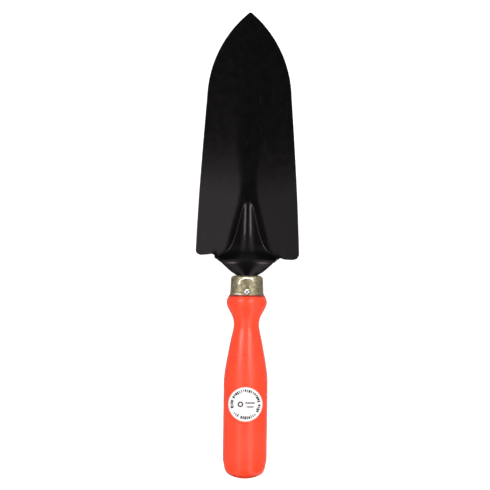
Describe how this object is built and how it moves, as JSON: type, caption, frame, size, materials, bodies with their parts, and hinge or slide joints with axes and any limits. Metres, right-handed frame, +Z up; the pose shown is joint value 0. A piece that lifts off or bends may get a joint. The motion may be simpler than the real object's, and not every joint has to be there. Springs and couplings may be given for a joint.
{
  "type": "hand transplanter",
  "caption": "Narrow garden trowel for lifting and setting seedlings: dished steel blade with a ribbed, cranked neck, metal ferrule and turned wooden handle.",
  "frame": {"origin": "middle of the tool's bounding box, on the plane that it rests on", "axes": "+Y along the handle's axis towards the blade's tip, +Z up out of the blade's hollow face, +X across the blade"},
  "size_m": [0.0706, 0.32, 0.0301],
  "materials": {
    "blade_paint": "satin black baked paint",
    "tang_paint": "satin black baked paint",
    "weld_paint": "black paint over a rough weld bead",
    "ferrule_plating": "dull yellow plating, lightly scratched",
    "screw_steel": "bright plated steel",
    "handle_wood": "orange-red semi-gloss paint over turned wood",
    "label_paper": "white coated paper with a plain printed pattern"
  },
  "bodies": {
    "root": {"blade": "blade_paint", "tang": "tang_paint", "tang_welds": "weld_paint", "ferrule": "ferrule_plating", "ferrule_screw": "screw_steel", "handle": "handle_wood", "label": "label_paper"}
  },
  "joints": []
}
